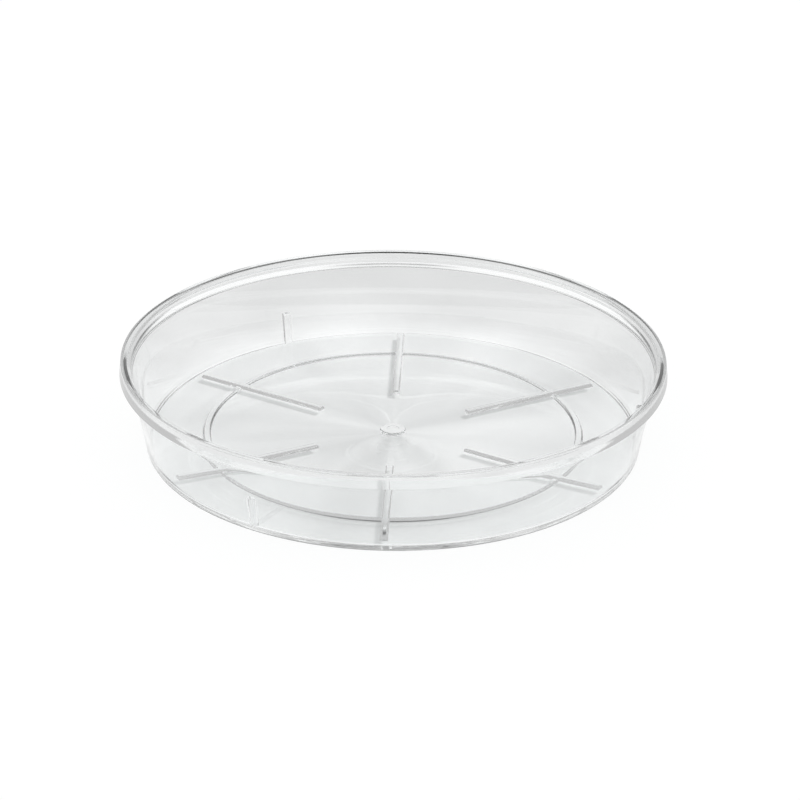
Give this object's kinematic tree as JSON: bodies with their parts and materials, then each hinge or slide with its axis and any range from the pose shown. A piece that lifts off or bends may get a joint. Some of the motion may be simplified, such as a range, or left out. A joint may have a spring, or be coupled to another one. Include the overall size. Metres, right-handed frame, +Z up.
{
  "type": "plant saucer",
  "caption": "Round clear plastic plant saucer with a flaring wall, a collared lip, a low floor ring and radial ribs that lift the pot.",
  "frame": {"origin": "centre of the flat underside", "axes": "+Z up, out of the open dish; +X towards one wall lug, a little off it"},
  "size_m": [0.1402, 0.1402, 0.0233],
  "materials": {
    "clear_plastic": "clear, polished"
  },
  "bodies": {
    "root": {"floor_plate": "clear_plastic", "side_wall": "clear_plastic", "rim_collar": "clear_plastic", "rim_lip": "clear_plastic", "ring_arc_1": "clear_plastic", "ring_arc_2": "clear_plastic", "ring_arc_3": "clear_plastic", "ring_arc_4": "clear_plastic", "ring_arc_5": "clear_plastic", "ring_arc_6": "clear_plastic", "pot_rib_1": "clear_plastic", "pot_rib_2": "clear_plastic", "pot_rib_3": "clear_plastic", "pot_rib_4": "clear_plastic", "pot_rib_5": "clear_plastic", "pot_rib_6": "clear_plastic", "wall_lug_1": "clear_plastic", "wall_lug_2": "clear_plastic", "wall_lug_3": "clear_plastic", "gate_disc": "clear_plastic"}
  },
  "joints": []
}
